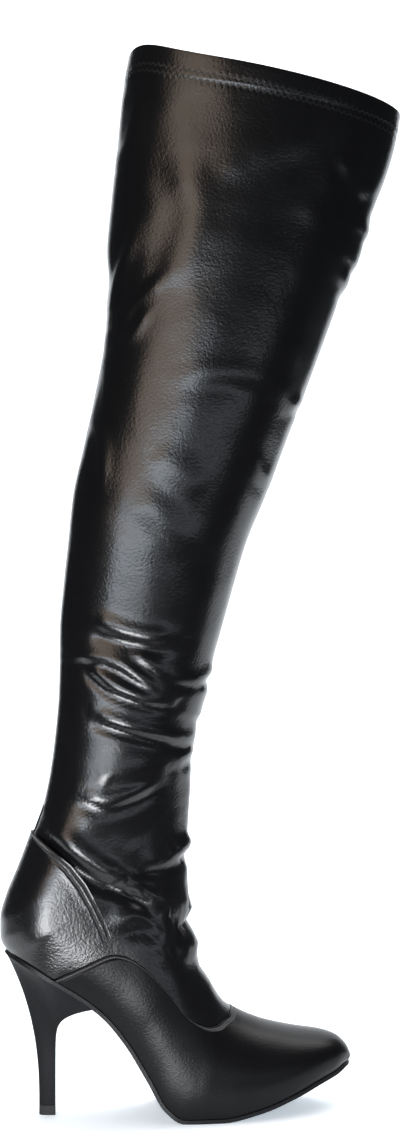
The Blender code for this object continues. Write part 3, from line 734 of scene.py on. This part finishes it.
def makeCounter(info):
    station = np.concatenate((np.linspace(*info["low"]), np.linspace(*info["high"])))
    front = counterFront(station, info["search"])
    rear = np.where(station < seatStation, info["rear"], 1.0)
    share = np.linspace(0.0, 1.0, info["columns"])
    flap = front[:, None] + (rear - front)[:, None] * share[None, :]
    around = np.concatenate((-flap, flap[:, ::-1]), axis=1)
    stations = np.broadcast_to(station[:, None], around.shape)
    normal = skinNormal(stations, around)
    skin = skinPoint(stations, around)
    inner = toBoot(skin + normal * info["inside"])
    outer = toBoot(skin + normal * info["outside"])
    half = info["columns"]
    keep = np.ones((len(station) - 1, 2 * half - 1), bool)
    keep[:, half - 1] = False
    left = reachAlong(outer[:, :half], 1, False)
    right = reachAlong(outer[:, half:], 1, True)
    gap = np.concatenate((left, right), axis=1)
    seam = np.exp(-((gap - info["seamPlace"]) / info["seamWidth"]) ** 2)
    outer = outer + normal * (info["seamRise"] * seam)[..., None]
    side = reachAlong(outer[:, :1], 0, False)
    run = np.broadcast_to(side, gap.shape)
    return wallPiece(info, outer, inner, (gap, run), keep)


makeCounter(counter)


# Outsole
def edgePoint(station, side, out, level):  # beside the sole's outline, level square to the sole
    forward, square = soleSquare(station)
    places = np.full(len(station), side)
    ahead = skinPoint(np.maximum(station - nudge, 0.0), places)
    behind = skinPoint(np.minimum(station + nudge, seatStation), places)
    outward = unitOf(np.cross(unitOf(ahead - behind), square))
    outward = np.where(outward[:, 1:2] * side < 0.0, -outward, outward)
    outward = np.where((station < nudge)[:, None], forward, outward)
    outward = np.where((station > seatStation - nudge)[:, None], -forward, outward)
    return skinPoint(station, places) + outward * out + square * level


outsole = {"name": "outsoleSkin", "slot": "outsole", "replaces": ["outsole"], "material": soleFinish,
           "rows": 150, "columns": 9, "outside": 0.0012}


def makeOutsole(info):
    turns = np.linspace(0.0, math.pi, info["rows"])
    station = 0.5 * seatStation * (1.0 - np.cos(turns))
    share = np.linspace(0.0, 1.0, info["columns"])[None, :, None]
    sides = []
    for level in (-boot["fit"] - boot["sole"], -boot["fit"]):
        left = edgePoint(station, -1.0, info["outside"], level)[:, None]
        right = edgePoint(station, 1.0, info["outside"], level)[:, None]
        sides.append(toBoot(left + (right - left) * share))
    return wallPiece(info, *sides)


makeOutsole(outsole)

# Heel
heel = {"name": "heelSkin", "slot": "heel", "replaces": ["heel"], "material": heelFinish, "sharp": 0.6,
        "first": 13.5, "spread": 1.8, "columns": 40, "rows": 70, "crowd": 1.6, "breast": 8,
        "frontDraw": 13.0, "backDraw": 2.4, "sideDraw": 4.0, "roundness": 0.6}


def makeHeel(info):  # rings from the seat down to the tip
    share = np.linspace(0.0, 1.0, info["columns"])
    station = seatStation - (seatStation - info["first"]) * (1.0 - share) ** info["spread"]
    depth = np.linspace(0.0, 1.0, info["rows"])[:, None] ** info["crowd"]
    power = info["frontDraw"] + (info["backDraw"] - info["frontDraw"]) * np.sqrt(share)
    draw = 1.0 - (1.0 - depth) ** power
    pinch = 1.0 - (1.0 - depth) ** info["sideDraw"]
    angle = 0.5 * math.pi * share
    tipX = boot["tipPlace"] * boot["length"] + boot["tipLength"] * (0.5 - np.sin(angle))
    tipZ = boot["lift"] + boot["fit"]
    flanks = []
    for side in (-1.0, 1.0):
        seat = edgePoint(station, side, 0.0, -2.0 * boot["fit"] - boot["sole"])
        tipY = side * 0.5 * boot["tipWidth"] * np.maximum(np.cos(angle), 0.0) ** info["roundness"]
        flanks.append(np.stack((seat[:, 0] + (tipX - seat[:, 0]) * draw,
                                seat[:, 1] + (tipY - seat[:, 1]) * pinch,
                                seat[:, 2] + (tipZ - seat[:, 2]) * depth), axis=-1))
    left, right = flanks
    across = np.linspace(0.0, 1.0, info["breast"] + 1)[None, 1:, None]
    breast = right[:, :1] + (left[:, :1] - right[:, :1]) * across
    rings = toBoot(np.concatenate((left, right[:, -2::-1], breast), axis=1))
    work = bmesh.new()
    for loop in borderLoops(gridInto(work, rings)):
        bmesh.ops.edgeloop_fill(work, edges=loop)
    return finishPiece(info, work)


makeHeel(heel)

# Floor and backdrop, one sheet with a round bend between them
sheetInfo = {"name": "studioSweep", "front": -0.13, "deep": 1.03, "bend": 0.6, "wall": 2.2,
             "middle": 0.45, "half": 1.15, "floorShare": 0.5, "bendShare": 0.2, "segments": (2, 40),
             "color": (0.90, 0.91, 0.925), "rough": 0.8, "roughSpread": 0.1, "specular": 0.1,
             "noise": 3.0, "glow": (0.80, 0.91, 1.0, 1.0), "glowStrength": 0.45}


def makeStage(info):
    finish, tree, shader = newMaterial("floorFinish", info["color"], info["rough"], info["specular"])
    shader.inputs["Emission Color"].default_value = info["glow"]
    shader.inputs["Emission Strength"].default_value = info["glowStrength"]
    spread = info["roughSpread"]
    noise = noiseOf(tree, info["noise"])
    rough = math2(tree, "MULTIPLY_ADD", noise, spread, info["rough"] - 0.5 * spread)
    tree.links.new(rough, shader.inputs["Roughness"])
    work = bmesh.new()
    wide, long = info["segments"]
    sweep = bmesh.ops.create_grid(work, x_segments=wide, y_segments=long, size=1.0)
    flat = info["floorShare"]
    curved = info["bendShare"]
    for vert in sweep["verts"]:
        part = (vert.co.y + 1.0) * 0.5
        angle = 0.5 * math.pi * min(max((part - flat) / curved, 0.0), 1.0)
        y = info["front"] + min(part, flat) / flat * info["deep"] + info["bend"] * math.sin(angle)
        climb = max(part - flat - curved, 0.0) / (1.0 - flat - curved)
        z = info["bend"] * (1.0 - math.cos(angle)) + climb * info["wall"]
        vert.co = Vector((info["middle"] + vert.co.x * info["half"], y, z))
    for face in work.faces:
        face.smooth = True
    mesh = bpy.data.meshes.new(info["name"])
    work.to_mesh(mesh)
    work.free()
    sheet = bpy.data.objects.new(info["name"], mesh)
    bpy.context.scene.collection.objects.link(sheet)
    mesh.materials.append(finish)


makeStage(sheetInfo)

# Camera's view of the boot, and the lights round it
view = {"turn": -6.6, "far": 1.30, "lens": 61.9, "sensor": 36.0, "clip": 0.05, "height": 0.361,
        "across": -0.0014}


def addLight(info):
    data = bpy.data.lights.new(info["name"], "AREA")
    data.shape = "RECTANGLE"
    data.size, data.size_y = info["size"]
    data.energy = info["glow"] * math.pi * data.size * data.size_y
    data.color = info["color"]
    lamp = bpy.data.objects.new(info["name"], data)
    bpy.context.scene.collection.objects.link(lamp)
    lamp.location = info["place"]
    aim = Vector(info["aim"]) - Vector(info["place"])
    lamp.rotation_euler = aim.to_track_quat("-Z", "Y").to_euler()


def roundPlace(azimuth, far, height):  # azimuth counted from the camera, to its left
    angle = math.radians(azimuth + view["turn"])
    return (-far * math.sin(angle), -far * math.cos(angle), height)


lampFar = 1.65
for lightInfo in (
        {"name": "leftLow", "size": (1.20, 0.37), "glow": 7.5, "color": (0.84, 0.91, 1.0),
         "place": roundPlace(29.0, lampFar, 0.315), "aim": (0.0, 0.0, 0.315)},
        {"name": "leftMiddle", "size": (1.20, 0.24), "glow": 3.2, "color": (1.0, 0.80, 0.64),
         "place": roundPlace(38.0, lampFar, 0.70), "aim": (0.0, 0.0, 0.70)},
        {"name": "leftHigh", "size": (0.88, 1.00), "glow": 2.1, "color": (1.0, 0.80, 0.64),
         "place": roundPlace(40.0, lampFar, 1.34), "aim": (0.0, 0.0, 1.34)},
        {"name": "rightLow", "size": (1.30, 0.16), "glow": 2.0, "color": (0.86, 0.92, 1.0),
         "place": roundPlace(-14.0, lampFar, 0.25), "aim": (0.0, 0.0, 0.25)},
        {"name": "heelLight", "size": (0.26, 0.22), "glow": 20.0, "color": (0.95, 0.97, 1.0),
         "place": roundPlace(28.0, 0.55, 0.02), "aim": (-0.09, 0.0, 0.13)},
        {"name": "topLight", "size": (3.0, 3.0), "glow": 2.2, "color": (1.0, 1.0, 1.0),
         "place": (0.4, 0.9, 2.3), "aim": (0.4, 0.9, 0.0)},
        {"name": "wallLight", "size": (3.0, 1.0), "glow": 4.0, "color": (1.0, 1.0, 1.0),
         "place": (0.4, 0.4, 2.0), "aim": (0.4, 1.5, 0.7)}):
    addLight(lightInfo)

world = bpy.data.worlds.new("studio")
world.use_nodes = True
background = world.node_tree.nodes["Background"]
background.inputs["Color"].default_value = (0.85, 0.92, 1.0, 1.0)
background.inputs["Strength"].default_value = 0.05
bpy.context.scene.world = world
bpy.context.scene.view_settings.view_transform = "Standard"

turn = math.radians(view["turn"])
forward = Vector((-math.sin(turn), math.cos(turn), 0.0))
cameraData = bpy.data.cameras.new("camera")
cameraData.lens = view["lens"]
cameraData.sensor_width = view["sensor"]
cameraData.clip_start = view["clip"]
camera = bpy.data.objects.new("camera", cameraData)
bpy.context.scene.collection.objects.link(camera)
camera.location = Vector((view["across"], 0.0, view["height"])) - forward * view["far"]
camera.rotation_euler = forward.to_track_quat("-Z", "Y").to_euler()
bpy.context.scene.camera = camera
print("stage ready")
